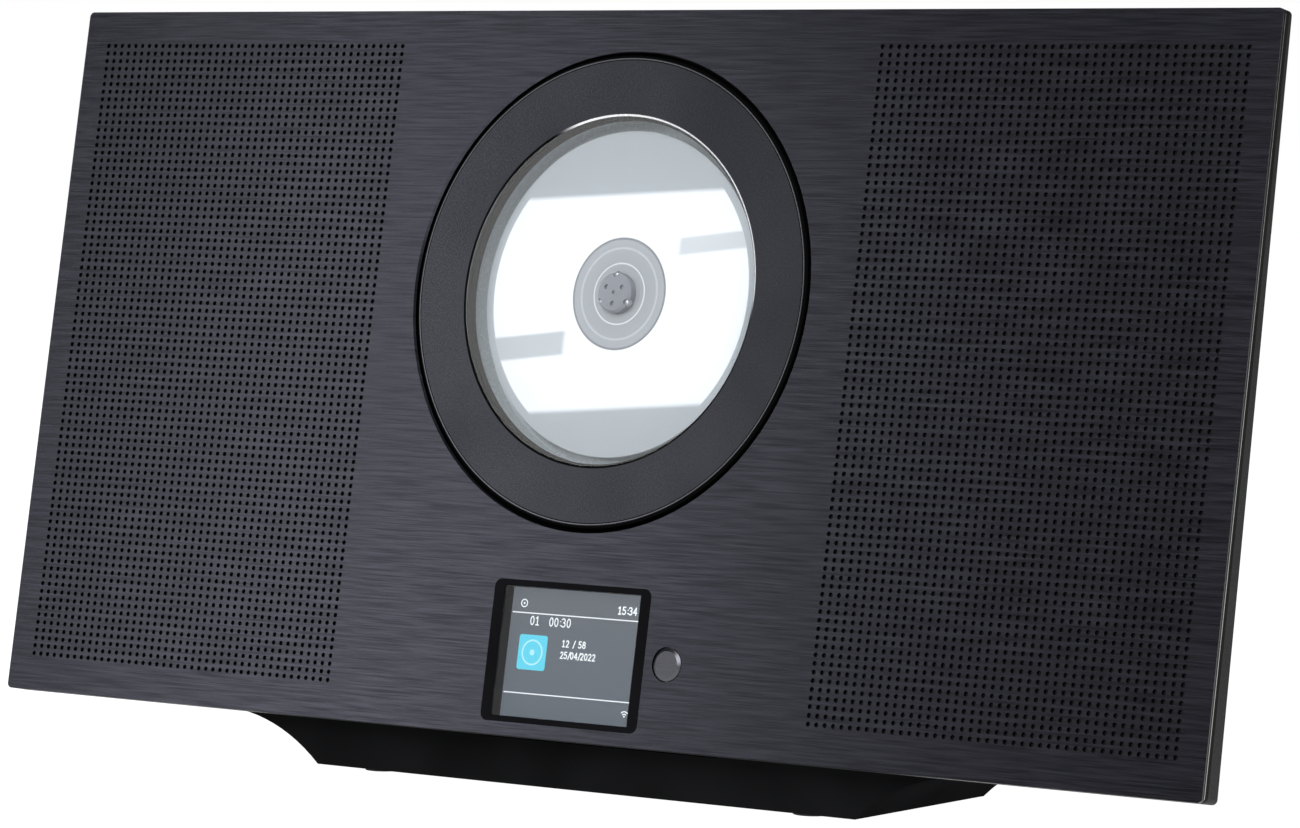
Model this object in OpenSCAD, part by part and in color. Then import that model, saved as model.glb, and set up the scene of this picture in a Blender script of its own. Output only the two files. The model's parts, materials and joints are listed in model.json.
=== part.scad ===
// Wall-mountable compact disc player, standing on its desk foot.
// Panel coordinates: X to the right, Y into the cabinet from the front face, Z up along the panel.
// in_panel() leans them back and stands them on the foot.  All lengths in millimetres.

/* [Front panel] */
// Width of the front panel
panel_w = 533; // [525:1:560]
// Height of the front panel
panel_h = 267; // [262:1:290]
// Thickness of the front panel sheet
panel_t = 1.5; // [1.2:0.1:1.8]
// Corner radius of the front panel
panel_r = 2; // [1:0.5:6]
// Angle that the panel leans back
lean = 10; // [6:1:12]

/* [Perforation] */
// Columns of holes in each field
hole_cols = 43; // [30:1:43]
// Rows of holes in each field
hole_rows = 80; // [60:1:80]
// Distance between columns
hole_pitch_x = 3.5; // [3.2:0.05:3.6]
// Distance between rows
hole_pitch_z = 3.03; // [2.8:0.01:3.05]
// Diameter of each hole
hole_d = 1.75; // [1.4:0.05:2]
// Centre line to the innermost column
field_x = 107.75; // [104:0.25:108]
// Panel's bottom edge to the lowest row
field_z = 14.2; // [12:0.1:16]
// Sheet left around the outer holes
field_edge = 2; // [1.5:0.1:3]

/* [Door] */
// Height of the door's centre above the panel's bottom edge
door_z = 163.7; // [160:0.1:168]
// Outer radius of the door
door_r = 86.65; // [86:0.05:88]
// Gap round the door
door_gap = 1.2; // [1:0.1:1.6]
// Thickness of the door ring
door_t = 5; // [4.5:0.1:5.2]
// Radius of the porthole
window_r = 64.2; // [63:0.1:65]
// Thickness of the clear pane
pane_t = 1.4; // [1:0.1:1.8]
// Width of the bevels round the door and the opening
bevel = 0.7; // [0.4:0.1:1]
// Door's edge to the hinge pin
hinge_reach = 28; // [26:0.5:29]
// Depth of the hinge pin behind the front face
hinge_d = 6; // [5.8:0.1:6.5]
// Radius of the hinge pin
pin_r = 1.5; // [1.2:0.1:1.8]

/* [Disc] */
// Radius of the compact disc
disc_r = 60; // [40:0.5:60]
// Radius of the disc's centre hole
disc_bore_r = 7.5; // [7.45:0.05:7.6]
// Thickness of the disc
disc_t = 1.2; // [1.1:0.1:1.3]
// Depth of the disc's printed face behind the front face
disc_d = 7.6; // [7.4:0.1:8]
// How far the hub stands out in front of the disc
hub_rise = 3.6; // [3:0.1:3.9]
// Depth of the disc well's floor
well_d = 13.3; // [13:0.1:13.6]

/* [Pickup] */
// Travel of the pickup sled
sled_travel = 35; // [20:1:35]
// Disc centre to the lens at rest
lens_x = 23; // [22:0.5:25]
// Radius of the sled's guide rods
guide_r = 1.5; // [1.2:0.1:1.8]
// Gear module of the rack
rack_module = 1; // [1:0.05:1.1]

/* [Display and button] */
// Width of the display frame
display_w = 70; // [64:1:74]
// Height of the display frame
display_h = 51.6; // [46:0.1:52]
// Height of the display's centre
display_z = 30.9; // [30.5:0.1:32]
// Width of the lit screen
screen_w = 61; // [50:1:61]
// Height of the lit screen
screen_h = 47.4; // [36:0.1:47.4]
// Centre line to the button's centre
button_x = 45; // [44:0.5:50]
// Height of the button's centre
button_z = 30.6; // [26:0.1:36]
// Radius of the button
button_r = 5.95; // [5:0.05:6.1]

/* [Cabinet] */
// Thickness of the front frame behind the panel
frame_t = 2.1; // [1.8:0.1:2.4]
// Depth of the rim at the top corner
rim_top = 5.4; // [5.4:0.1:7]
// Depth of the rim at the bottom corner
rim_bottom = 10.2; // [8:0.1:10.5]
// Width of the rear case
case_w = 470; // [460:1:480]
// Height of the rear case's bottom above the panel's bottom edge
case_z = 19.5; // [18:0.5:21]
// Height of the rear case
case_h = 228; // [224:1:230]
// Overall depth of the cabinet
case_d = 56; // [54:0.5:60]
// Wall thickness of the rear case
case_t = 2.2; // [2:0.1:2.6]
// Radius of the wall-mounting keyholes' entry
keyhole_r = 4.5; // [4:0.1:5]
// Centre line to each keyhole
keyhole_x = 150; // [120:1:160]

/* [Loudspeakers] */
// Centre line to each loudspeaker
speaker_x = 181.5; // [179:0.5:183]
// Radius of the loudspeaker's basket
speaker_r = 45; // [44:0.5:46]
// Radius of the cone
cone_r = 32; // [31:0.5:33]
// Radius of the magnet
magnet_r = 30; // [28:0.5:32]

/* [Desk foot] */
// Clearance under the panel's bottom edge
stand_h = 20.4; // [20:0.2:24]
// Width of the foot on the table
foot_w = 243.4; // [236:0.2:250]
// Depth of the foot
foot_d = 84; // [78:1:90]
// Panel's front edge to the foot's front face
foot_y = 13; // [12.6:0.1:15]
// Radius of the flared ends
flare_r = 68; // [66:0.5:70]
// Radius of the rubber pads
pad_r = 7; // [5:0.5:8]
// Height that the pads lift the foot
pad_h = 1; // [0.8:0.1:1.5]

/* [Hidden] */

fine = 96;
small = 32;
over = 1;                       // how far a cutter runs past what it cuts
fit = 0.06;                     // running clearance on a radius
slack = 0.3;                    // clearance between separate pieces
far = 400;                      // longer than anything that is cut
frame_d = panel_t + frame_t;    // back of the front frame
flange_t = 1.8;
flange_d = frame_d + flange_t;  // back of the rear cover's flange
rim_t = 2.4;
cloth_t = 0.4;

// Perforated fields
field_w = (hole_cols - 1) * hole_pitch_x;
field_h = (hole_rows - 1) * hole_pitch_z;
field_mid_x = field_x + field_w / 2;
field_mid_z = field_z + field_h / 2;
band_rows = 4;                  // rows in one band of the perforated sheet
band_seam = 0.02;
hole_fn = 16;

// Door
opening_r = door_r + door_gap;
pane_d = 0.4;
ledge = 1;
ledge_r = window_r - ledge;
hinge_x = -(door_r + hinge_reach);
barrel_r = pin_r + 1.9;
arm_z = 18;                     // half the height over both arms
arm_w = 8;
arm_t = 4.5;
edge_x = sqrt(opening_r * opening_r - arm_z * arm_z);
arm_r = norm([-edge_x - hinge_x, hinge_d]) + 1;
arm_pad_t = 2.5;
arm_pad_end = -hinge_x - window_r - 3.1;
arm_screw_x = [arm_r + 7.5, arm_pad_end - 3.4];
arm_screw_z = 14;
door_screw_r = 1.2;
hinge_window_z = 26;
hinge_window_x = hinge_x - barrel_r - 4;
pin_h = 48;
ear_t = 4.6;

// Door seat and disc well
seat_d = 6.5;
seat_t = 1.6;
seat_bore_r = window_r + 2.8;
seat_r = door_r + 5.35;
seat_wall = 2.5;
well_r = window_r + 1.3;
well_floor_r = well_r - 1.8;
well_t = 1.4;
floor_t = 1.6;
well_lip_r = well_r + 8.5;
turntable_r = 15;
well_bore_r = turntable_r + 2;
slot_half = 5.4;

// Latch at the door's right
striker_x = window_r + 9.3;
striker_w = 5;
striker_h = 8;
striker_d = 14;
plunger_travel = 3;
latch_w = 16;
latch_h = 18;
latch_d = 23.5;

// Spindle and hub
disc_back = disc_d + disc_t;
hub_r = disc_bore_r - 0.15;
hub_d = disc_d - hub_rise;
turntable_t = 1.8;
shaft_r = 1;
spindle_motor_r = 12;
claw_r = 1.5;
claw_ring_r = 6.6;
motor_d = disc_back + 3.8;

// Deck under the well
deck_d = 24;
deck_t = 1.2;
deck_x = [-44, 84];
deck_half_z = 53;
damper_at = [[-38, 36], [-38, -36], [38, 46], [38, -46]];
damper_r = 5;
damper_neck_r = 3.95;
damper_d = 20;
damper_end = 28;
deck_screw_r = 1.6;

// Sled, rack and gears
guide_d = 18.3;
guide_z = 15;
guide_x = [8, 82];
guide_block = 4;
guide_grip = 3;
sled_x = [lens_x - 9, lens_x + 10];
sled_half_z = 19;
sled_d = [15.6, 21];
turret_r = 4.5;
lens_r = 3;
lens_d = 10.3;
pressure = 20;
rack_teeth = 16;
rack_pitch_r = rack_teeth * rack_module / 2;
rack_pitch_z = -(sled_half_z + 2.5 * rack_module);
backlash = 0.25;
gear_x = lens_x + 7;
gear_z = rack_pitch_z - rack_pitch_r;
rack_d = [16, 18.5];
wheel_module = 0.75;
wheel_teeth = 28;
pinion_teeth = 14;
wheel_d = [21.4, 23.2];
wheel_gap = (wheel_teeth + pinion_teeth) * wheel_module / 2;
post_r = 1.5;
pinion_shaft_r = 0.75;
sled_motor_r = 7;

// Display and button
frame_lip = 2;
frame_depth = 5.6;
frame_lip_d = 3.4;
glass_d = [0.4, 1.6];
lcd_back = frame_depth + 4.6;
display_play = 0.2;
board_d = lcd_back + 1.4;
board_t = 1.6;
board_x = [-40, 58];
board_z = [4, 58];
pocket_x = [board_x[0] - 2, board_x[1] + 2];
pocket_z = board_z[0] - 0.6;
pocket_d = board_d + board_t + 1.2;
pocket_t = 1.6;
seat_room_r = seat_r + seat_wall + slack;
seat_room_d = seat_d + seat_t + slack;
button_gap = 0.45;
button_flange = 1.15;
button_stem_d = board_d - 2;
switch_d = board_d - 1.3;

// Rear case
case_mid_z = case_z + case_h / 2;
case_r = 14;
vent_w = 3;
vent_l = 60;
vent_pitch = 8;
vent_count = 7;
keyhole_z = case_z + case_h - 32;
keyhole_slot_r = 2.3;
keyhole_l = 10;
socket_z = 41;
socket_w = 92;
socket_h = 24;
socket_floor = [44, 46];
socket_end = 48;
main_board_d = 34;
case_screw_at = [
    [250, 18], [250, panel_h / 2], [250, panel_h - 18], [120, 9.5], [120, panel_h - 9.5]
];
case_screw_r = 1.5;

// Loudspeaker, front to back
speaker_hole_r = speaker_r - 5.5;
basket_back = 24;
basket_t = 1.4;
basket_rear_r = magnet_r - 3;
basket_slot_w = 16;
plate_t = 4;
magnet_t = 10;
coil_r = 12.7;
cone_d = [5.6, 20.2];
roll_r = 3;
speaker_screw_r = 1.2;
speaker_screw_in = 2.05;        // screw centre to the basket's edge

// Desk foot, in table coordinates
flare_x = foot_w / 2 + flare_r * sin(42);
flare_top = stand_h - 1.2;
foot_top = flare_top + 2.3;
pedestal_w = 220;
foot_shell = 3;
foot_bay = 46;
foot_bay_h = 14;
foot_screw_at = [[80, 24], [80, 44]];
foot_screw_r = 2;
foot_screw_seat = case_z - 5;
boss_r = 4.5;
boss_h = 10;
pad_at = [foot_w / 2 - 25, 9.5];
case_back_y = case_d * cos(lean) + (case_z + case_h) * sin(lean);
mid_y = case_back_y / 2;

// ---------------------------------------------------------------- helpers

// Panel coordinates, leaned back over the table
module in_panel() {
    translate([0, -mid_y, stand_h]) rotate([-lean, 0, 0]) children();
}

// A flat outline in X and Z, from depth a to depth b
module slab(a, b) {
    translate([0, b, 0]) rotate([90, 0, 0]) linear_extrude(b - a) children();
}

// A round bar along the depth, from a to b
module bar(a, b, r) {
    translate([0, a, 0]) rotate([-90, 0, 0]) cylinder(h = b - a, r = r, $fn = fine);
}

// A profile of radius and depth, turned about the depth axis
module turned() {
    rotate([-90, 0, 0]) rotate_extrude($fn = fine) children();
}

module at(x, z) {
    translate([x, 0, z]) children();
}

module both_sides() {
    children();
    mirror([1, 0, 0]) children();
}

module round_rect(w, h, r) {
    square([w - 2 * r, h], center = true);
    square([w, h - 2 * r], center = true);
    for (x = [-1, 1], z = [-1, 1]) translate([x * (w / 2 - r), z * (h / 2 - r)]) circle(r = r, $fn = small);
}

module panel_outline(inset = 0) {
    translate([0, panel_h / 2]) round_rect(panel_w - 2 * inset, panel_h - 2 * inset, panel_r);
}

module case_outline(inset = 0) {
    translate([0, case_mid_z]) round_rect(case_w - 2 * inset, case_h - 2 * inset, case_r - inset);
}

module field_outline(edge) {
    translate([field_mid_x, field_mid_z]) square([field_w + 2 * edge, field_h + 2 * edge], center = true);
}

module block(x, y, z) {
    translate([x[0], y[0], z[0]]) cube([x[1] - x[0], y[1] - y[0], z[1] - z[0]]);
}

// ---------------------------------------------------------------- front panel

module front_panel() {
    color("#26262b") in_panel() difference() {
        slab(0, panel_t) difference() {
            panel_outline();
            both_sides() field_outline(field_edge);
            translate([0, display_z]) round_rect(display_w + display_play, display_h + display_play, 3);
            translate([button_x, button_z]) circle(r = button_r + button_gap, $fn = fine);
        }
        at(0, door_z) turned() polygon([
            [0, -over], [opening_r + bevel + over, -over], [opening_r + bevel, 0],
            [opening_r, bevel], [opening_r, panel_t + over], [0, panel_t + over]
        ]);
    }
}

// One band of the perforated sheet, with the rows from the given one up
module grille_band(first) {
    last = min(first + band_rows, hole_rows) - 1;
    low = first == 0 ? field_z - field_edge : field_z + (first - 0.5) * hole_pitch_z + band_seam;
    high = last == hole_rows - 1 ? field_z + field_h + field_edge : field_z + (last + 0.5) * hole_pitch_z;
    difference() {
        translate([field_x - field_edge, low]) square([field_w + 2 * field_edge, high - low]);
        for (j = [first:last]) for (i = [0:hole_cols - 1])
            translate([field_x + i * hole_pitch_x, field_z + j * hole_pitch_z]) circle(d = hole_d, $fn = hole_fn);
    }
}

module right_grille() {
    color("#26262b") in_panel() for (first = [0:band_rows:hole_rows - 1])
        slab(0, panel_t) grille_band(first);
}

module left_grille() {
    mirror([1, 0, 0]) right_grille();
}

module grille_cloths() {
    color("#0a0a0a") in_panel() both_sides() slab(panel_t, panel_t + cloth_t) field_outline(field_edge);
}

module front_frame() {
    color("#3a3a36") in_panel() difference() {
        slab(panel_t, frame_d) difference() {
            panel_outline();
            translate([0, door_z]) circle(r = seat_r, $fn = fine);
            translate([hinge_window_x, door_z - hinge_window_z])
                square([-hinge_window_x - edge_x + 6, 2 * hinge_window_z]);
            translate([0, display_z])
                square([display_w + 2 * frame_lip + slack, display_h + 2 * frame_lip + slack], center = true);
            translate([button_x, button_z]) circle(r = button_r + button_flange + slack, $fn = fine);
            both_sides() translate([speaker_x, field_mid_z]) circle(r = speaker_hole_r, $fn = fine);
        }
        both_sides() slab(panel_t - over, panel_t + cloth_t) field_outline(field_edge);
        both_sides() for (p = case_screw_at) at(p[0], p[1]) bar(frame_d - 1.4, frame_d + over, case_screw_r);
        for (z = [-1, 1]) at(hinge_window_x - 6, door_z + z * 19) bar(frame_d - 1.4, frame_d + over, case_screw_r);
        both_sides() for (a = [45:90:315]) speaker_screw_place(a)
            bar(frame_d - 1.3, frame_d + over, speaker_screw_r);
    }
}

// ---------------------------------------------------------------- rear cover

module rim_lip() {
    difference() {
        slab(flange_d - over, rim_bottom) difference() {
            panel_outline();
            panel_outline(rim_t);
        }
        translate([-panel_w / 2 - over, 0, 0]) rotate([90, 0, 90]) linear_extrude(panel_w + 2 * over)
            polygon([[rim_bottom, 0], [far, 0], [far, panel_h + over], [rim_top - 0.02, panel_h + over]]);
    }
}

module keyhole() {
    circle(r = keyhole_r, $fn = fine);
    translate([-keyhole_slot_r, 0]) square([2 * keyhole_slot_r, keyhole_l]);
    translate([0, keyhole_l]) circle(r = keyhole_slot_r, $fn = small);
}

module vent_field() {
    for (i = [0:vent_count - 1]) translate([0, (i - (vent_count - 1) / 2) * vent_pitch])
        square([vent_l, vent_w], center = true);
}

socket_x = [-36, -14, 0, 18, 36];
socket_r = [5.2, 3.3, 3.3, 0, 5.4];
usb_w = 13.6;
usb_h = 6.4;

// Room for the display and its board, below the rear case
module display_pocket(wall = 0) {
    translate([pocket_x[0] - wall, pocket_z - wall])
        square([pocket_x[1] - pocket_x[0] + 2 * wall, case_z + case_t - pocket_z + wall]);
}

module rear_cover() {
    color("#1b1b1b") in_panel() difference() {
        union() {
            slab(frame_d, flange_d) difference() {
                panel_outline();
                case_outline(case_t);
            }
            rim_lip();
            slab(frame_d, case_d) difference() {
                case_outline();
                case_outline(case_t);
            }
            slab(case_d - case_t, case_d) case_outline();
            slab(frame_d, pocket_d + pocket_t) display_pocket(pocket_t);
            slab(frame_d, seat_room_d + pocket_t) intersection() {
                translate([0, door_z]) circle(r = seat_room_r + pocket_t, $fn = fine);
                translate([-far, case_z + case_h - case_t]) square([2 * far, far]);
            }
            translate([0, 0, socket_z]) slab(socket_floor[0], case_d - case_t)
                square([socket_w + 4, socket_h + 4], center = true);
            both_sides() for (p = foot_screw_at)
                translate([p[0], p[1], case_z]) cylinder(h = case_t + boss_h, r = boss_r, $fn = small);
        }
        slab(frame_d - over, pocket_d) display_pocket();
        at(0, door_z) bar(frame_d - over, seat_room_d, seat_room_r);
        translate([0, 0, socket_z]) slab(socket_floor[1], case_d + over)
            square([socket_w, socket_h], center = true);
        for (i = [0, 1, 2, 4]) at(socket_x[i], socket_z)
            bar(socket_floor[0] - over, socket_floor[1] + over, socket_r[i] + 0.2);
        at(socket_x[3], socket_z) slab(socket_floor[0] - over, socket_floor[1] + over)
            square([usb_w + 0.4, usb_h + 0.4], center = true);
        both_sides() slab(case_d - case_t - over, case_d + over) {
            translate([keyhole_x, keyhole_z]) keyhole();
            translate([speaker_x, field_mid_z]) vent_field();
        }
        both_sides() for (p = case_screw_at) at(p[0], p[1])
            bar(frame_d - over, flange_d + over, case_screw_r + 0.2);
        both_sides() for (p = foot_screw_at)
            translate([p[0], p[1], case_z - over]) cylinder(h = over + 8, r = foot_screw_r, $fn = small);
    }
}

module case_screws() {
    color("#101010") in_panel() both_sides() for (p = case_screw_at) at(p[0], p[1]) {
        bar(frame_d - 1.2, flange_d + 0.01, case_screw_r - 0.05);
        difference() {
            bar(flange_d, flange_d + 1.8, 2.9);
            bar(flange_d + 0.8, flange_d + 1.8 + over, 1.1);
        }
    }
}

// ---------------------------------------------------------------- door seat and well

module door_seat() {
    color("#0c0c0c") in_panel() difference() {
        at(0, door_z) turned() polygon([
            [seat_bore_r, seat_d], [seat_r, seat_d], [seat_r, frame_d],
            [seat_r + seat_wall, frame_d], [seat_r + seat_wall, seat_d + seat_t], [seat_bore_r, seat_d + seat_t]
        ]);
        block([hinge_x + arm_r - 2, hinge_x + arm_pad_end + 1.5], [seat_d - over, seat_d + seat_t + over],
            [door_z - arm_z - 2, door_z + arm_z + 2]);
        block([striker_x - 1.5, striker_x + striker_w + 3], [seat_d - over, seat_d + seat_t + over],
            [door_z - striker_h / 2 - 1.5, door_z + striker_h / 2 + 1.5]);
    }
}

module disc_well() {
    color("#b9c4c1") in_panel() {
        difference() {
            at(0, door_z) turned() polygon([
                [well_r, door_t + 0.4], [well_floor_r, well_d], [well_bore_r, well_d],
                [well_bore_r, well_d + floor_t], [well_floor_r + well_t, well_d + floor_t],
                [well_r + well_t - 0.1, seat_d + seat_t + well_t], [well_lip_r, seat_d + seat_t + well_t],
                [well_lip_r, seat_d + seat_t], [well_r + well_t - 0.1, seat_d + seat_t],
                [well_r + well_t - 0.1, door_t + 0.4]
            ]);
            block([well_bore_r - 3, lens_x + sled_travel + turret_r + slack], [well_d - over, well_d + floor_t + over],
                [door_z - slot_half, door_z + slot_half]);
            block([striker_x - 1.5, striker_x + striker_w + 3],
                [seat_d + seat_t - over, seat_d + seat_t + well_t + over],
                [door_z - striker_h / 2 - 1.5, door_z + striker_h / 2 + 1.5]);
            block([-well_lip_r - over, -well_r - well_t - 0.2], [seat_d, seat_d + seat_t + well_t + over],
                [door_z - arm_z - 2, door_z + arm_z + 2]);
        }
        for (p = damper_at) at(p[0], door_z + p[1]) difference() {
            bar(well_d + floor_t, damper_d, 3.5);
            bar(well_d + floor_t + 0.6, damper_d + over, deck_screw_r);
        }
    }
}

// ---------------------------------------------------------------- door

module door_ring() {
    color("#303034") in_panel() difference() {
        at(0, door_z) turned() polygon([
            [window_r + 0.5, 0], [door_r - bevel, 0], [door_r, bevel], [door_r, door_t - 1],
            [door_r - 1, door_t], [ledge_r, door_t], [ledge_r, pane_d + pane_t],
            [window_r, pane_d + pane_t], [window_r, 0.5]
        ]);
        for (x = arm_screw_x, z = [-1, 1]) at(hinge_x + x, door_z + z * arm_screw_z)
            bar(door_t - 3, door_t + over, door_screw_r);
    }
}

module door_window() {
    color([0.85, 0.9, 0.92, 0.25]) in_panel() at(0, door_z)
        bar(pane_d, pane_d + pane_t, window_r - 0.05);
}

// Outline of one gooseneck in X and depth, with the hinge pin at its origin
module gooseneck() {
    back = door_t - hinge_d;
    difference() {
        union() {
            circle(r = barrel_r, $fn = fine);
            translate([-arm_t, 0]) square([arm_t, arm_r + 1]);
            intersection() {
                difference() {
                    circle(r = arm_r + arm_t, $fn = fine);
                    circle(r = arm_r, $fn = fine);
                }
                translate([-arm_t, back]) square([far, far]);
            }
        }
        circle(r = pin_r + fit, $fn = fine);
    }
}

module door_arms() {
    color("#17171a") in_panel() translate([hinge_x, hinge_d, door_z]) difference() {
        union() {
            for (z = [-arm_z, arm_z - arm_w]) translate([0, 0, z]) linear_extrude(arm_w) gooseneck();
            block([arm_r + 1, arm_pad_end], [door_t - hinge_d, door_t - hinge_d + arm_pad_t], [-arm_z, arm_z]);
        }
        for (x = arm_screw_x, z = [-1, 1]) at(x, z * arm_screw_z)
            bar(door_t - hinge_d - over, door_t - hinge_d + arm_pad_t + over, door_screw_r + 0.1);
    }
}

module door_screws() {
    color("#8c8c90") in_panel() for (x = arm_screw_x, z = [-1, 1]) at(hinge_x + x, door_z + z * arm_screw_z) {
        bar(door_t - 2.8, door_t + arm_pad_t + 0.01, door_screw_r - 0.02);
        bar(door_t + arm_pad_t, door_t + arm_pad_t + 1.3, 2.2);
    }
}

module door_striker() {
    color("#17171a") in_panel() {
        block([striker_x, striker_x + striker_w], [door_t, striker_d],
            [door_z - striker_h / 2, door_z + striker_h / 2]);
        block([striker_x + striker_w, striker_x + striker_w + 1.5], [striker_d - 2, striker_d],
            [door_z - striker_h / 2, door_z + striker_h / 2]);
    }
}

module hinge_bracket() {
    ear_z = [-arm_z - slack - ear_t, arm_z + slack];
    color("#9a9a9e") in_panel() translate([hinge_x, 0, door_z]) difference() {
        union() {
            block([hinge_window_x - hinge_x - 12, hinge_window_x - hinge_x + 2],
                [frame_d, frame_d + 1.6], [-hinge_window_z, hinge_window_z]);
            for (z = ear_z) translate([0, 0, z]) {
                translate([0, hinge_d, 0]) cylinder(h = ear_t, r = barrel_r, $fn = fine);
                block([hinge_window_x - hinge_x, 0], [frame_d, hinge_d + barrel_r], [0, ear_t]);
            }
        }
        translate([0, hinge_d, -far / 2]) cylinder(h = far, r = pin_r + 0.01, $fn = fine);
        for (z = [-1, 1]) at(hinge_window_x - hinge_x - 6, z * 19) bar(frame_d - over, frame_d + 3, 1.7);
    }
}

module hinge_screws() {
    color("#8c8c90") in_panel() for (z = [-1, 1]) at(hinge_window_x - 6, door_z + z * 19) {
        bar(frame_d - 1.2, frame_d + 1.61, case_screw_r - 0.05);
        bar(frame_d + 1.6, frame_d + 3, 2.9);
    }
}

module hinge_pin() {
    color("#c4c4c8") in_panel() translate([hinge_x, hinge_d, door_z - pin_h / 2])
        cylinder(h = pin_h, r = pin_r, $fn = fine);
}

// ---------------------------------------------------------------- latch

module latch_body() {
    x0 = striker_x - 4;
    color("#222226") in_panel() difference() {
        block([x0, x0 + latch_w], [seat_d + seat_t + well_t, latch_d],
            [door_z - latch_h / 2, door_z + latch_h / 2]);
        block([striker_x - 1.5, striker_x + striker_w + 3], [seat_d + seat_t, latch_d - 2],
            [door_z - striker_h / 2 - 1.5, door_z + striker_h / 2 + 1.5]);
    }
}

module latch_plunger() {
    color("#d8d8d8") in_panel() block([striker_x - 1, striker_x + striker_w + 2],
        [striker_d + 0.2, latch_d - 2 - plunger_travel - slack],
        [door_z - striker_h / 2 - 1, door_z + striker_h / 2 + 1]);
}

// ---------------------------------------------------------------- disc and spindle

module compact_disc() {
    color("#e9ebee") in_panel() at(0, door_z) turned()
        translate([disc_bore_r, disc_d]) square([disc_r - disc_bore_r, disc_t]);
}

module hub_places() {
    for (a = [90, 210, 330]) at(claw_ring_r * cos(a), claw_ring_r * sin(a)) children();
}

module spindle_hub() {
    color("#5b6066") in_panel() at(0, door_z) difference() {
        turned() polygon([
            [0, hub_d], [hub_r - 0.8, hub_d], [hub_r, hub_d + 0.8], [hub_r, disc_back], [turntable_r, disc_back],
            [turntable_r, disc_back + turntable_t], [4, disc_back + turntable_t], [4, motor_d - 0.4],
            [shaft_r, motor_d - 0.4], [shaft_r, deck_d - 1], [0, deck_d - 1]
        ]);
        hub_places() translate([0, disc_d - 0.2 - claw_r, 0]) sphere(r = claw_r + 0.05, $fn = small);
        hub_places() bar(hub_d - over, disc_d - 0.2 - claw_r, claw_r * 0.6);
        bar(hub_d - over, hub_d + 1, 0.7);
        for (a = [30, 150, 270]) at(4 * cos(a), 4 * sin(a)) bar(hub_d - over, hub_d + 1.2, 0.9);
    }
}

module hub_claws() {
    color("#e6e6ea") in_panel() at(0, door_z) hub_places()
        translate([0, disc_d - 0.2 - claw_r, 0]) sphere(r = claw_r, $fn = small);
}

module spindle_motor() {
    color("#a8aaad") in_panel() at(0, door_z) turned() polygon([
        [shaft_r + fit, motor_d], [spindle_motor_r - 1, motor_d], [spindle_motor_r, motor_d + 1],
        [spindle_motor_r, deck_d - 1.5], [spindle_motor_r + 2, deck_d - 1.5], [spindle_motor_r + 2, deck_d],
        [shaft_r + fit, deck_d]
    ]);
}

// ---------------------------------------------------------------- deck

module deck_plate() {
    color("#8f9296") in_panel() at(0, door_z) difference() {
        slab(deck_d, deck_d + deck_t) difference() {
            translate([deck_x[0], -deck_half_z]) square([deck_x[1] - deck_x[0], 2 * deck_half_z]);
            for (p = damper_at) translate(p) circle(r = damper_neck_r + 0.05, $fn = small);
            translate([gear_x + wheel_gap, gear_z]) circle(r = 3, $fn = small);
            circle(r = shaft_r + 1, $fn = small);
        }
    }
}

module deck_dampers() {
    color("#1a1a1a") in_panel() for (p = damper_at) at(p[0], door_z + p[1]) turned() polygon([
        [deck_screw_r + 0.2, damper_d], [damper_r, damper_d], [damper_r, deck_d], [damper_neck_r, deck_d],
        [damper_neck_r, deck_d + deck_t], [damper_r, deck_d + deck_t], [damper_r, damper_end],
        [deck_screw_r + 0.2, damper_end]
    ]);
}

module deck_screws() {
    color("#b0b0b4") in_panel() for (p = damper_at) at(p[0], door_z + p[1]) {
        bar(well_d + floor_t + 1, damper_end + 0.01, deck_screw_r - 0.02);
        difference() {
            bar(damper_end, damper_end + 1.6, damper_r + 0.5);
            bar(damper_end + 0.8, damper_end + 1.6 + over, 1.3);
        }
    }
}

module guide_rods() {
    color("#cfd0d4") in_panel() for (z = [-guide_z, guide_z])
        translate([guide_x[0], guide_d, door_z + z]) rotate([0, 90, 0])
            cylinder(h = guide_x[1] - guide_x[0], r = guide_r, $fn = fine);
}

module rod_brackets() {
    color("#2b2b2e") in_panel() at(0, door_z) for (z = [-guide_z, guide_z], x = [guide_x[0], guide_x[1] - guide_block])
        difference() {
            block([x, x + guide_block], [guide_d - guide_grip, deck_d], [z - guide_grip, z + guide_grip]);
            translate([x - over, guide_d, z]) rotate([0, 90, 0])
                cylinder(h = guide_block + 2 * over, r = guide_r + 0.01, $fn = fine);
        }
}

module pickup_sled() {
    color("#2e3238") in_panel() at(0, door_z) difference() {
        union() {
            block(sled_x, sled_d, [-sled_half_z, sled_half_z]);
            at(lens_x, 0) bar(lens_d + 1.4, sled_d[0] + over, turret_r);
        }
        for (z = [-guide_z, guide_z]) translate([sled_x[0] - over, guide_d, z]) rotate([0, 90, 0])
            cylinder(h = sled_x[1] - sled_x[0] + 2 * over, r = guide_r + fit, $fn = fine);
        at(lens_x, 0) bar(lens_d + 1, lens_d + 3, lens_r + 0.05);
    }
}

module objective_lens() {
    color([0.5, 0.65, 0.8, 0.8]) in_panel() at(lens_x, door_z) {
        bar(lens_d + 1, lens_d + 3, lens_r);
        turned() intersection() {
            translate([0, lens_d + 5.5]) circle(r = 5.5, $fn = fine);
            square([lens_r, lens_d + 1.01]);
        }
    }
}

// Half the angle that an involute tooth covers at radius r, in degrees
function involute(r, base) = let (a = acos(min(1, base / r))) tan(a) * 180 / PI - a;
function tooth_half(r, pitch_r, m) =
    let (base = pitch_r * cos(pressure))
    (PI * m / 2 - backlash) / (2 * pitch_r) * 180 / PI + involute(pitch_r, base) - involute(max(r, base), base);

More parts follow.
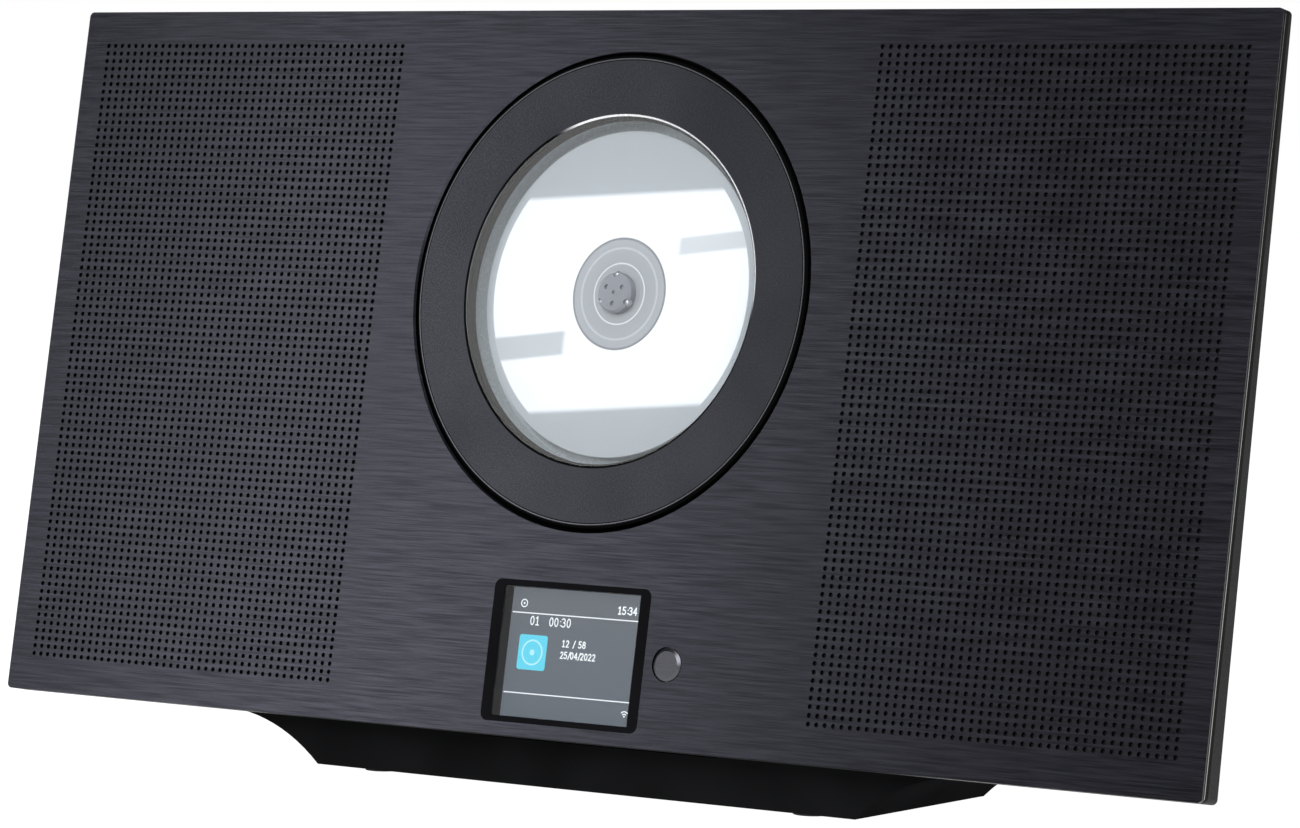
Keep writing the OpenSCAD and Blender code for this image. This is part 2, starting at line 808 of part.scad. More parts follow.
// Gear outline with one tooth centred on angle start
module spur_outline(teeth, m, start) {
    pitch_r = teeth * m / 2;
    root = pitch_r - 1.25 * m;
    steps = [for (i = [0:4]) root + i * (2.25 * m) / 4];
    polygon([for (k = [0:teeth - 1]) let (mid = start + k * 360 / teeth) each concat(
        [for (i = [0:4]) let (r = steps[i], a = mid - tooth_half(r, pitch_r, m)) [r * cos(a), r * sin(a)]],
        [for (i = [4:-1:0]) let (r = steps[i], a = mid + tooth_half(r, pitch_r, m)) [r * cos(a), r * sin(a)]]
    )]);
}

// The rack is long enough for the sled's whole travel past the gear
module sled_rack() {
    m = rack_module;
    pitch = PI * m;
    half = pitch / 4 - backlash / 2;
    flank = tan(pressure) * m;
    root = 1.25 * m;
    color("#d9d2b8") in_panel() at(0, door_z) slab(rack_d[0], rack_d[1]) {
        translate([gear_x - sled_travel - 7, rack_pitch_z + root])
            square([sled_travel + 14, -sled_half_z - rack_pitch_z - root]);
        for (k = [-ceil((sled_travel + 4) / pitch):1]) translate([gear_x + (k + 0.5) * pitch, rack_pitch_z])
            polygon([[-half - 1.25 * flank, root + 0.01], [-half + flank, -m],
                [half - flank, -m], [half + 1.25 * flank, root + 0.01]]);
    }
}

module drive_gear() {
    color("#efece0") in_panel() at(gear_x, door_z + gear_z) difference() {
        union() {
            slab(rack_d[0] - 0.4, wheel_d[0] + 0.01) spur_outline(rack_teeth, rack_module, 90);
            slab(wheel_d[0], wheel_d[1]) spur_outline(wheel_teeth, wheel_module, 0);
        }
        bar(rack_d[0] - over, wheel_d[1] + over, post_r + fit);
    }
}

module gear_post() {
    color("#cfd0d4") in_panel() at(gear_x, door_z + gear_z) {
        bar(rack_d[0] - 0.7, deck_d, post_r);
        bar(wheel_d[1] + 0.2, deck_d, post_r + 1.5);
    }
}

module motor_pinion() {
    color("#c9a24a") in_panel() at(gear_x + wheel_gap, door_z + gear_z) {
        slab(wheel_d[0] - 0.2, wheel_d[1] + 0.2) spur_outline(pinion_teeth, wheel_module, 180 + 180 / pinion_teeth);
        bar(wheel_d[1], deck_d + deck_t + 6, pinion_shaft_r);
    }
}

module sled_motor() {
    color("#a8aaad") in_panel() at(gear_x + wheel_gap, door_z + gear_z) difference() {
        bar(deck_d + deck_t, deck_d + deck_t + 15, sled_motor_r);
        bar(deck_d + deck_t - over, deck_d + deck_t + 7, pinion_shaft_r + fit);
    }
}

// ---------------------------------------------------------------- display and button

module display_frame() {
    color("#101012") in_panel() at(0, display_z) difference() {
        union() {
            slab(0, frame_depth) round_rect(display_w, display_h, 2.9);
            slab(panel_t, frame_lip_d) square([display_w + 2 * frame_lip, display_h + 2 * frame_lip], center = true);
        }
        slab(-over, frame_depth + over) square([screen_w, screen_h], center = true);
    }
}

module display_lens() {
    color([0.7, 0.8, 0.85, 0.3]) in_panel() at(0, display_z)
        slab(glass_d[0], glass_d[1]) square([screen_w - 0.1, screen_h - 0.1], center = true);
}

module lcd_module() {
    color("#6f767c") in_panel() at(0, display_z) slab(frame_depth, lcd_back)
        square([screen_w + 5, screen_h + 3], center = true);
}

module control_board() {
    color("#1f5a3a") in_panel() {
        slab(board_d, board_d + board_t) translate([board_x[0], board_z[0]])
            square([board_x[1] - board_x[0], board_z[1] - board_z[0]]);
        at(0, display_z) slab(lcd_back, board_d + 0.01) square([40, 20], center = true);
        at(button_x, button_z) {
            slab(switch_d + 0.3, board_d + 0.01) square([6, 6], center = true);
            bar(switch_d, board_d, 1.6);
        }
        for (x = [board_x[0] + 2, board_x[1] - 2]) at(x, board_z[0] + 4) bar(frame_d, board_d + 0.01, 2.5);
    }
}

module power_button() {
    color("#55565c") in_panel() at(button_x, button_z) turned() polygon([
        [0, -0.5], [button_r - 1.2, -0.5], [button_r, 0.2], [button_r, panel_t + 0.1],
        [button_r + button_flange, panel_t + 0.1], [button_r + button_flange, panel_t + 1.1],
        [2, panel_t + 1.1], [2, button_stem_d], [0, button_stem_d]
    ]);
}

// ---------------------------------------------------------------- main board and sockets

module main_board() {
    color("#1f5a3a") in_panel() {
        slab(main_board_d, main_board_d + board_t) translate([-70, 26]) square([140, 50]);
        for (x = [-50, 0, 46]) at(x, 64) slab(main_board_d - 2.2, main_board_d + 0.01)
            square([16, 12], center = true);
    }
}

module socket_shell(i, floor_r) {
    at(socket_x[i], socket_z) difference() {
        union() {
            slab(main_board_d + board_t, socket_floor[0]) square([2 * socket_r[i], 12], center = true);
            bar(socket_floor[0] - 0.01, socket_end, socket_r[i]);
        }
        bar(socket_floor[0] - 6, socket_end + over, floor_r);
    }
}

module dc_inlet() {
    color("#141414") in_panel() {
        socket_shell(0, 2.9);
        at(socket_x[0], socket_z) bar(socket_floor[0] - 6.01, socket_end - 1.5, 1);
    }
}

module audio_jacks() {
    color("#3c3c3c") in_panel() for (i = [1, 2]) socket_shell(i, 1.8);
}

module aerial_socket() {
    color("#c8c8c8") in_panel() socket_shell(4, 4.6);
}

module usb_socket() {
    color("#c8c8c8") in_panel() at(socket_x[3], socket_z) difference() {
        slab(main_board_d + board_t, socket_end) square([usb_w, usb_h], center = true);
        slab(socket_floor[0] - 6, socket_end + over) difference() {
            square([usb_w - 1.2, usb_h - 1.2], center = true);
            translate([-5.5, 0]) square([11, 1.6]);
        }
    }
}

// ---------------------------------------------------------------- loudspeakers

module speaker_at() {
    at(speaker_x, field_mid_z) children();
}

module speaker_screw_place(a) {
    at(speaker_x + (speaker_r - speaker_screw_in) * cos(a), field_mid_z + (speaker_r - speaker_screw_in) * sin(a))
        children();
}

module speaker_baskets() {
    color("#2a2a2c") in_panel() both_sides() difference() {
        speaker_at() difference() {
            turned() polygon([
                [speaker_hole_r, frame_d], [speaker_r, frame_d], [speaker_r, frame_d + 1.6],
                [speaker_hole_r + basket_t, frame_d + 1.6], [basket_rear_r, basket_back - basket_t],
                [basket_rear_r, basket_back], [coil_r + 2, basket_back], [coil_r + 2, basket_back - basket_t],
                [basket_rear_r - 1, basket_back - basket_t], [speaker_hole_r, frame_d + 2]
            ]);
            for (a = [0:60:300]) rotate([0, a, 0]) block([basket_rear_r + 0.5, speaker_hole_r - 3],
                [0, basket_back + over], [-basket_slot_w / 2, basket_slot_w / 2]);
        }
        for (a = [45:90:315]) speaker_screw_place(a) bar(frame_d - over, frame_d + 3, speaker_screw_r + 0.2);
    }
}

module speaker_plates() {
    back = basket_back + plate_t + magnet_t;
    color("#8c8f93") in_panel() both_sides() speaker_at() {
        turned() translate([coil_r + 0.7, basket_back]) square([magnet_r - 3 - coil_r - 0.7, plate_t]);
        bar(back, back + plate_t, magnet_r);
        bar(basket_back, back + 0.01, coil_r - 1.3);
    }
}

module speaker_magnets() {
    color("#26272a") in_panel() both_sides() speaker_at() turned()
        translate([coil_r + 3, basket_back + plate_t]) square([magnet_r - coil_r - 3, magnet_t]);
}

module speaker_screws() {
    color("#b0b0b4") in_panel() both_sides() for (a = [45:90:315]) speaker_screw_place(a) {
        bar(frame_d - 1.2, frame_d + 1.61, speaker_screw_r - 0.05);
        difference() {
            bar(frame_d + 1.6, frame_d + 3, 1.9);
            bar(frame_d + 2.4, frame_d + 3 + over, 1);
        }
    }
}

module surround() {
    inner_r = cone_r + 0.6 + slack;
    mid = (inner_r + speaker_hole_r) / 2;
    speaker_at() turned() {
        difference() {
            translate([mid, cone_d[0]]) circle(r = roll_r, $fn = small);
            translate([mid, cone_d[0]]) circle(r = roll_r - 0.5, $fn = small);
            translate([0, cone_d[0]]) square([far, far]);
        }
        translate([inner_r, cone_d[0] - 0.5]) square([mid - roll_r + 0.3 - inner_r, 0.5]);
        translate([mid + roll_r - 0.3, cone_d[0] - 0.5]) square([speaker_hole_r - mid - roll_r + 0.25, 0.5]);
    }
}

module cone() {
    speaker_at() turned() polygon([
        [cone_r - 0.4, cone_d[0]], [cone_r + 0.6, cone_d[0]], [coil_r + 1, cone_d[1]], [coil_r, cone_d[1]]
    ]);
}

module dust_cap() {
    dome_r = 18;
    speaker_at() turned() intersection() {
        difference() {
            translate([0, 14 + dome_r]) circle(r = dome_r, $fn = fine);
            translate([0, 14 + dome_r]) circle(r = dome_r - 0.6, $fn = fine);
        }
        square([coil_r - 0.1, cone_d[1]]);
    }
}

module voice_coil() {
    speaker_at() turned() translate([coil_r - 0.6, cone_d[1]]) square([0.6, 11.2]);
}

module right_surround() { color("#151515") in_panel() surround(); }
module left_surround() { color("#151515") in_panel() mirror([1, 0, 0]) surround(); }
module right_cone() { color("#1c1c1f") in_panel() cone(); }
module left_cone() { color("#1c1c1f") in_panel() mirror([1, 0, 0]) cone(); }
module right_dust_cap() { color("#242428") in_panel() dust_cap(); }
module left_dust_cap() { color("#242428") in_panel() mirror([1, 0, 0]) dust_cap(); }
module right_voice_coil() { color("#b5713c") in_panel() voice_coil(); }
module left_voice_coil() { color("#b5713c") in_panel() mirror([1, 0, 0]) voice_coil(); }

// ---------------------------------------------------------------- desk foot

// Half of the foot seen from the front: a concave flare above a flat base, and the pedestal over it
module foot_outline() {
    difference() {
        translate([0, pad_h]) square([flare_x, foot_top - pad_h]);
        translate([flare_x, flare_top - flare_r]) circle(r = flare_r, $fn = fine);
    }
    translate([0, pad_h]) square([pedestal_w / 2, stand_h + case_z + 20]);
}

module foot_body() {
    translate([0, foot_y + foot_d, 0]) rotate([90, 0, 0]) linear_extrude(foot_d) foot_outline();
}

module stand_foot() {
    color("#161618") translate([0, -mid_y, 0]) difference() {
        both_sides() foot_body();
        for (i = [-1:1]) block([(i - 0.5) * foot_bay + foot_shell / 2, (i + 0.5) * foot_bay - foot_shell / 2],
            [foot_y + 2 * foot_shell, foot_y + foot_d - 2 * foot_shell], [-over, foot_bay_h]);
        translate([0, 0, stand_h]) rotate([-lean, 0, 0]) {
            translate([-far, -far, case_z]) cube([2 * far, 2 * far, far]);
            block([-far, far], [-far, rim_bottom + slack], [-slack, far]);
            block([pocket_x[0] - pocket_t - slack, pocket_x[1] + pocket_t + slack],
                [-far, pocket_d + pocket_t + slack], [-slack, far]);
            both_sides() for (p = foot_screw_at) translate([p[0], p[1], case_z + over])
                rotate([180, 0, 0]) {
                    cylinder(h = far, r = foot_screw_r + 0.2, $fn = small);
                    translate([0, 0, over + 5]) cylinder(h = far, r = foot_screw_r + 2.2, $fn = small);
                }
        }
        both_sides() for (y = [pad_at[1], foot_d - pad_at[1]]) translate([pad_at[0], foot_y + y, -over])
            cylinder(h = over + pad_h + 1.2, r = pad_r, $fn = fine);
    }
}

module foot_pads() {
    color("#0b0b0b") translate([0, -mid_y, 0]) both_sides() for (y = [pad_at[1], foot_d - pad_at[1]])
        translate([pad_at[0], foot_y + y, 0]) cylinder(h = pad_h + 1.2, r = pad_r - 0.05, $fn = fine);
}

module foot_screws() {
    color("#b0b0b4") in_panel() both_sides() for (p = foot_screw_at) translate([p[0], p[1], 0]) {
        translate([0, 0, foot_screw_seat - 0.01]) cylinder(h = 12, r = foot_screw_r - 0.05, $fn = small);
        translate([0, 0, foot_screw_seat - 2.2]) cylinder(h = 2.2, r = foot_screw_r + 1.6, $fn = small);
    }
}

// ---------------------------------------------------------------- pieces

front_panel();
left_grille();
right_grille();
grille_cloths();
front_frame();
rear_cover();
door_seat();
disc_well();
display_frame();
display_lens();
lcd_module();
control_board();
main_board();
dc_inlet();
audio_jacks();
usb_socket();
aerial_socket();
speaker_baskets();
speaker_magnets();
speaker_plates();
speaker_screws();
left_surround();
right_surround();
left_cone();
right_cone();
left_dust_cap();
right_dust_cap();
left_voice_coil();
right_voice_coil();
deck_plate();
deck_dampers();
deck_screws();
spindle_motor();
guide_rods();
rod_brackets();
sled_motor();
gear_post();
hinge_bracket();
hinge_screws();
hinge_pin();
latch_body();
latch_plunger();
stand_foot();
foot_pads();
foot_screws();
case_screws();
door_ring();
door_window();
door_arms();
door_striker();
door_screws();
spindle_hub();
hub_claws();
compact_disc();
pickup_sled();
objective_lens();
sled_rack();
drive_gear();
motor_pinion();
power_button();
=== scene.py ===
import json
import math

import bmesh
import bpy
from mathutils import Matrix, Vector


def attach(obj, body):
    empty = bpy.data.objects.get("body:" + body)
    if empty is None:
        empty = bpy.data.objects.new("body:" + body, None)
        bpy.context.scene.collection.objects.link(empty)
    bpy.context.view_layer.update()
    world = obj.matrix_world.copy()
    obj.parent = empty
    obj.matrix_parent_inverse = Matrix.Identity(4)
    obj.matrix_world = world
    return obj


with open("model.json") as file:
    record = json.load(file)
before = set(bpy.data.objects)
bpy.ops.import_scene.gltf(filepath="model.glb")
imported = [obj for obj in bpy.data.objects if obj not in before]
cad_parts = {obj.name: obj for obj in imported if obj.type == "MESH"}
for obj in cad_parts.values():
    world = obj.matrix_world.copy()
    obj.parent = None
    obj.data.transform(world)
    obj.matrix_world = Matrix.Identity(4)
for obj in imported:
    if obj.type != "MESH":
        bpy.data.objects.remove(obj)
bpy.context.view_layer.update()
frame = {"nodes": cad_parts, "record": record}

# ------------------------------------------------------------ the player's own measures, metres

MM = 0.001
LEAN = math.radians(10)
STAND_H = 20.4 * MM
CASE_DEPTH = 56 * MM
CASE_TOP = 247.5 * MM
FRONT_Y = -(CASE_DEPTH * math.cos(LEAN) + CASE_TOP * math.sin(LEAN)) / 2
DOOR_Z = 163.7 * MM
DISPLAY_Z = 30.9 * MM
SCREEN_DEPTH = 5.6 * MM
PANEL_W = 533 * MM
PANEL_H = 267 * MM
PANEL_T = 1.5 * MM
WINDOW_R = 64.2 * MM
DOOR_R = 86.65 * MM

# The same kind of measures, in millimetres
LIP_WIDE = 0.7
# Inward from the door's rim: where its painted shade, painted highlight and painted shadow lie
DOOR_ARRIS_HIGHLIGHT_IN = 1.34
DOOR_GROOVE_SHADOW_IN = 1.72
DOOR_FLANK_SHADE_IN = 1.0
DISC_HOLE_RING_R = 11.2
DISC_STACKING_RING_R = 16.8
DISC_PRINT_RING_R = 20.3
DISC_PRINT_R = (20.75, 56.9)
LIT_HALF_W = 30.6
LIT_HALF_H = 23.8


def panel_point(x, depth, up):
    """A point given along the panel, behind its face and up it, in the object's frame"""
    return Vector((
        x,
        FRONT_Y + depth * math.cos(LEAN) + up * math.sin(LEAN),
        STAND_H - depth * math.sin(LEAN) + up * math.cos(LEAN),
    ))


# ------------------------------------------------------------ camera, floor and light

CAMERA_AT = Vector((1.1242, -1.5033 + FRONT_Y, 0.2228 + STAND_H))
CAMERA_RIGHT = Vector((0.81074, 0.5853, 0.01108))
CAMERA_UP = Vector((-0.04163, 0.03876, 0.99838))
CAMERA_BACK = Vector((0.58392, -0.80989, 0.05579))
FRAME_WIDE = 1300
FOCAL_PIXELS = 5248
SENSOR = 36


def place_camera():
    data = bpy.data.cameras.new("camera")
    data.sensor_fit = "HORIZONTAL"
    data.sensor_width = SENSOR
    data.lens = FOCAL_PIXELS / FRAME_WIDE * SENSOR
    data.clip_start = 0.05
    data.clip_end = 60
    camera = bpy.data.objects.new("camera", data)
    bpy.context.scene.collection.objects.link(camera)
    turn = Matrix((CAMERA_RIGHT, CAMERA_UP, CAMERA_BACK)).transposed().to_4x4()
    camera.matrix_world = Matrix.Translation(CAMERA_AT) @ turn
    bpy.context.scene.camera = camera


place_camera()


# ------------------------------------------------------------ shader maths

# The colour mix has several sockets of one name, so these go by their number
MIX_FIRST, MIX_SECOND, MIX_RESULT = 6, 7, 2


class Wire:
    """One socket of a look, with plain arithmetic"""

    def __init__(self, look, socket):
        self.look = look
        self.socket = socket

    def __add__(self, other):
        return self.look.maths("ADD", self, other)

    def __radd__(self, other):
        return self.look.maths("ADD", other, self)

    def __sub__(self, other):
        return self.look.maths("SUBTRACT", self, other)

    def __rsub__(self, other):
        return self.look.maths("SUBTRACT", other, self)

    def __mul__(self, other):
        return self.look.maths("MULTIPLY", self, other)

    def __rmul__(self, other):
        return self.look.maths("MULTIPLY", other, self)

    def __truediv__(self, other):
        return self.look.maths("DIVIDE", self, other)

    def __rtruediv__(self, other):
        return self.look.maths("DIVIDE", other, self)

    def __abs__(self):
        return self.look.maths("ABSOLUTE", self)

    def __lt__(self, other):
        return self.look.maths("LESS_THAN", self, other)

    def __gt__(self, other):
        return self.look.maths("GREATER_THAN", self, other)


class Look:
    """A material that is built from nodes"""

    def __init__(self, name):
        self.material = bpy.data.materials.new(name)
        self.material.use_nodes = True
        self.tree = self.material.node_tree
        self.tree.nodes.clear()
        self.spot = None
        self.place = None

    def add(self, kind, settings=None, inputs=None, out=0):
        node = self.tree.nodes.new(kind)
        for name, value in (settings or {}).items():
            setattr(node, name, value)
        for name, value in (inputs or {}).items():
            self.feed(node.inputs[name], value)
        return Wire(self, node.outputs[out])

    def feed(self, socket, value):
        if isinstance(value, Wire):
            self.tree.links.new(value.socket, socket)
        elif isinstance(value, (tuple, list)) and len(value) == 3 and socket.type == "RGBA":
            socket.default_value = (*value, 1)
        else:
            socket.default_value = value

    def maths(self, operation, *values):
        return self.add("ShaderNodeMath", {"operation": operation}, dict(enumerate(values)))

    def clamp(self, value):
        return self.add("ShaderNodeClamp", None, {"Value": value})

    def ramp(self, value, low, high, start=0.0, end=1.0):
        """Runs softly from start to end while the value runs from low to high"""
        return self.add(
            "ShaderNodeMapRange", {"interpolation_type": "SMOOTHSTEP"},
            {"Value": value, "From Min": low, "From Max": high, "To Min": start, "To Max": end},
        )

    def fade(self, value, low, high):
        """1 up to low and 0 past high"""
        return self.ramp(value, low, high, 1.0, 0.0)

    def band(self, value, middle, full, gone):
        """1 while the value is within full of the middle, 0 where it is further off than gone"""
        return self.fade(abs(value - middle), full, gone)

    def larger(self, first, second):
        return self.maths("MAXIMUM", first, second)

    def waves(self, value):
        return self.maths("SINE", value)

    def reach(self, across, along):
        """Distance from the middle of two lengths at right angles"""
        return self.maths("SQRT", across * across + along * along)

    def mix(self, factor, first, second):
        colours = {"Factor": factor, MIX_FIRST: first, MIX_SECOND: second}
        return self.add("ShaderNodeMix", {"data_type": "RGBA"}, colours, out=MIX_RESULT)

    def where(self):
        """Place on the object along the panel, behind its face and up it, in metres"""
        if self.place is None:
            self.spot = self.add("ShaderNodeTexCoord", out="Object")
            split = self.add("ShaderNodeSeparateXYZ", None, {0: self.spot})
            x, y, z = (Wire(self, split.socket.node.outputs[i]) for i in range(3))
            y, z = y - FRONT_Y, z - STAND_H
            self.place = (
                x,
                y * math.cos(LEAN) - z * math.sin(LEAN),
                y * math.sin(LEAN) + z * math.cos(LEAN),
            )
        return self.place

    def vector(self, x, y, z):
        return self.add("ShaderNodeCombineXYZ", None, {0: x, 1: y, 2: z})

    def noise(self, scale, at=None, detail=2.0, rough=0.5):
        if at is None:
            self.where()
            at = self.spot
        return self.add(
            "ShaderNodeTexNoise", None,
            {"Vector": at, "Scale": scale, "Detail": detail, "Roughness": rough},
        )

    def bump(self, height, strength, distance):
        return self.add(
            "ShaderNodeBump", None, {"Height": height, "Strength": strength, "Distance": distance}
        )

    def finish(self, **sockets):
        names = {
            "colour": "Base Color", "rough": "Roughness", "metal": "Metallic", "normal": "Normal",
            "glow": "Emission Color", "glow_strength": "Emission Strength", "ior": "IOR",
            "coat": "Coat Weight", "coat_rough": "Coat Roughness", "shine": "Specular IOR Level",
        }
        skin = self.add("ShaderNodeBsdfPrincipled", None, {names[k]: v for k, v in sockets.items()})
        return self.close(skin)

    def close(self, skin):
        end = self.tree.nodes.new("ShaderNodeOutputMaterial")
        self.feed(end.inputs["Surface"], skin)
        return self.material


def shade(colour, factor):
    return tuple(min(1.0, c * factor) for c in colour)


def grey(level):
    return (level, level, level)


# ------------------------------------------------------------ finishes

def brushed_panel():
    """Dark anodised sheet with short streaks along it; its cut edge shows at the sides"""
    look = Look("brushed_panel")
    x, depth, up = look.where()
    # grains for each metre along the panel, behind its face and up it
    fine = look.noise(1.0, look.vector(x * 30, depth * 600, up * 3200), detail=3.0, rough=0.65)
    wide = look.noise(1.0, look.vector(x * 40, depth * 200, up * 950), detail=3.0, rough=0.6)
    cloud = look.noise(9.0, detail=2.0)
    streak = look.clamp(fine * 0.55 + wide * 0.45)
    dark, light, clouded = (0.029, 0.029, 0.036), (0.065, 0.065, 0.081), (0.042, 0.042, 0.052)
    colour = look.mix(look.ramp(streak, 0.38, 0.62), dark, light)
    colour = look.mix(look.ramp(cloud, 0.35, 0.7, 0.0, 0.3), colour, clouded)
    # the cut edge is darker, with a thin bare line where it meets the frame and one at the face
    edge_band = 0.12 * MM
    at_side = abs(x) > PANEL_W / 2 - edge_band
    at_end = abs(up - PANEL_H / 2) > PANEL_H / 2 - edge_band
    back_line = look.band(depth, PANEL_T - 0.15 * MM, 0.08 * MM, 0.18 * MM)
    face_line = look.fade(depth, 0.05 * MM, 0.15 * MM)
    bare = look.clamp((back_line + face_line * 0.35) * at_side)
    colour = look.mix(look.larger(at_side, at_end), colour, grey(0.016))
    colour = look.mix(bare, colour, (0.62, 0.62, 0.6))
    return look.finish(
        colour=colour, metal=1.0, rough=look.ramp(streak, 0.25, 0.75, 0.22, 0.27),
        normal=look.bump(streak, 0.25, 0.00008),
    )


def satin_door():
    """Smooth dark ring; its inner wall is painted black as shade and the lip over it has a painted
    highlight at the top
    """
    look = Look("satin_door")
    x, depth, up = look.where()
    v = up - DOOR_Z
    radius = look.reach(x, v)
    grain = look.noise(2600.0, detail=1.0)
    tone = look.noise(18.0, detail=2.0)
    lip = look.fade((radius - WINDOW_R) / MM, LIP_WIDE - 0.04, LIP_WIDE + 0.06)
    # the lip's painted highlight runs from eleven o'clock over the top to three o'clock
    lip_highlight_side = look.ramp((x * 0.57 + v * 0.82) / radius, 0.42, 0.6)
    # painted shade: black inner wall and flank, then a light arris as a painted highlight and a dark
    # groove round the face as a painted shadow
    inward = (DOOR_R - radius) / MM
    wall = look.ramp(depth / MM, 0.5, 0.6)
    flank_shade = look.fade(inward, DOOR_FLANK_SHADE_IN - 0.05, DOOR_FLANK_SHADE_IN + 0.1)
    arris_highlight = look.band(inward, DOOR_ARRIS_HIGHLIGHT_IN, 0.12, 0.22)
    groove_shadow = look.band(inward, DOOR_GROOVE_SHADOW_IN, 0.14, 0.22)
    black = look.clamp(wall + flank_shade + groove_shadow + lip * (1 - lip_highlight_side))
    colour = look.mix(look.ramp(tone, 0.3, 0.7), (0.040, 0.041, 0.048), (0.052, 0.053, 0.061))
    # painted highlight: a light line on the arris of the ring's face
    colour = look.mix(arris_highlight * 0.6, colour, (0.20, 0.20, 0.22))
    # painted highlight: near-white on the lip's top side stands in for its reflection
    colour = look.mix(lip * lip_highlight_side, colour, (0.9, 0.9, 0.92))
    # painted shade: near-black on the inner wall, the flank and the groove; the lip away from its
    # highlight is black too
    colour = look.mix(black, colour, grey(0.003))
    return look.finish(
        colour=colour, metal=1 - black, rough=look.ramp(grain, 0.3, 0.7, 0.26, 0.33) + black * 0.5,
        normal=look.bump(grain, 0.06, 0.00002), ior=1.04,
    )


def moulded(name, colour, rough, grain=1500.0, deep=0.12, spread=0.18, shine=0.5):
    """Moulded plastic, rubber or paper with a fine grain; spread is how far its tone wanders"""
    look = Look(name)
    fine = look.noise(grain, detail=2.0)
    cloud = look.noise(25.0, detail=3.0)
    tint = look.mix(look.ramp(cloud, 0.3, 0.7), shade(colour, 1 - spread), shade(colour, 1 + spread))
    return look.finish(
        colour=tint, rough=look.ramp(fine, 0.3, 0.7, rough - 0.07, rough + 0.07),
        normal=look.bump(fine, deep, 0.00006), shine=shine,
    )


def metal(name, colour, rough, lines=900.0):
    """Bare or plated metal with faint lines along the object's width"""
    look = Look(name)
    x, depth, up = look.where()
    fine = look.noise(1.0, look.vector(x * lines / 12, depth * lines, up * lines), detail=2.0)
    tint = look.mix(fine, shade(colour, 0.86), shade(colour, 1.1))
    return look.finish(
        colour=tint, metal=1.0, rough=look.ramp(fine, 0.2, 0.8, rough - 0.06, rough + 0.08),
        normal=look.bump(fine, 0.08, 0.00003),
    )


def cloth():
    """Plain weave, with its threads along and up the panel"""
    look = Look("speaker_cloth")
    x, _, up = look.where()
    threads = 9000
    weave = look.waves(x * threads) * look.waves(up * threads)
    tint = look.mix(look.ramp(weave, -0.6, 0.6), (0.003, 0.003, 0.0035), (0.012, 0.012, 0.013))
    return look.finish(colour=tint, rough=0.95, normal=look.bump(weave, 0.4, 0.0001))


def clear_pane():
    """Clear sheet that mirrors at its front face only; the one over the screen is less shiny"""
    look = Look("clear_pane")
    _, depth, up = look.where()
    front = look.fade(depth / MM, 0.45, 0.6)
    door_share = look.ramp(up / MM, 60, 70, 0.35, 1.0)
    smudge = look.noise(12.0, detail=3.0)
    through = look.add("ShaderNodeBsdfTransparent", None, {"Color": (0.97, 0.98, 0.985)})
    gloss = look.add("ShaderNodeBsdfGlossy", None, {
        "Color": (1, 1, 1), "Roughness": look.ramp(smudge, 0.3, 0.8, 0.02, 0.05)
    })
    fresnel = look.add("ShaderNodeFresnel", None, {"IOR": 1.46})
    mirrored = look.clamp(fresnel * front * door_share)
    return look.close(look.add("ShaderNodeMixShader", None, {0: mirrored, 1: through, 2: gloss}))


def disc_label():
    """White print with grey fields, a clear middle and the data side behind"""
    look = Look("disc_label")
    x, depth, up = look.where()
    v = up - DOOR_Z
    x_mm, v_mm, radius_mm = x / MM, v / MM, look.reach(x, v) / MM
    # grey shoulders at the top and bottom, a bar at the left and one at the right, all on a slant
    top_shoulder = look.ramp(v_mm - x_mm * 0.06, 35.5, 38.0)
    low_shoulder = look.fade(v_mm - x_mm * 0.08, -43.5, -41)
    slant = v_mm - x_mm * 0.12
    left_bar = look.band(slant, -16, 3.6, 5.2) * look.fade(x_mm, -24, -21)
    right_bar = look.band(slant, 15, 2.4, 4.0) * look.ramp(x_mm, 23, 26)
    print_start, print_end = DISC_PRINT_R
    outer_rim = look.ramp(radius_mm, print_end - 0.3, print_end + 0.3)
    shapes = look.clamp(top_shoulder + low_shoulder + left_bar * 0.8 + right_bar * 0.6)
    printed = look.mix(look.larger(shapes, outer_rim), (0.95, 0.96, 0.99), (0.37, 0.40, 0.43))
    clear = look.mix(look.ramp(radius_mm, 9, 20), (0.29, 0.305, 0.325), (0.335, 0.35, 0.375))
    print_ring = look.band(radius_mm, DISC_PRINT_RING_R, 0.25, 0.5)
    stacking_ring = look.band(radius_mm, DISC_STACKING_RING_R, 0.2, 0.6)
    hole_ring = look.band(radius_mm, DISC_HOLE_RING_R, 0.15, 0.4)
    colour = look.mix(look.ramp(radius_mm, print_start - 0.15, print_start + 0.15), clear, printed)
    colour = look.mix(print_ring * 0.8, colour, (0.12, 0.13, 0.14))
    colour = look.mix(hole_ring * 0.8, colour, (0.75, 0.77, 0.8))
    colour = look.mix(stacking_ring * 0.35, colour, (0.7, 0.72, 0.75))
    front = look.fade(depth / MM, 8.0, 8.3)
    colour = look.mix(front, (0.55, 0.57, 0.6), colour)
    return look.finish(
        colour=colour, metal=look.clamp((1 - front) * 0.9), rough=look.ramp(front, 0.0, 1.0, 0.12, 0.3),
        normal=look.bump(print_ring + stacking_ring + hole_ring, 0.3, 0.0002), coat=0.6, coat_rough=0.08,
    )


def well_wall():
    """Smooth pale moulding with painted shade: a little darker towards its floor, lighter near its
    opening
    """
    look = Look("well_wall")
    _, depth, _ = look.where()
    fine = look.noise(1200.0, detail=1.0)
    # painted light and shade: the colour runs from light near the opening to darker towards the floor
    tint = look.mix(look.ramp(depth / MM, 5.0, 13.0), (0.60, 0.65, 0.68), (0.47, 0.515, 0.54))
    return look.finish(
        colour=tint, rough=look.ramp(fine, 0.3, 0.7, 0.22, 0.3), metal=0.1,
        normal=look.bump(fine, 0.04, 0.00002),
    )


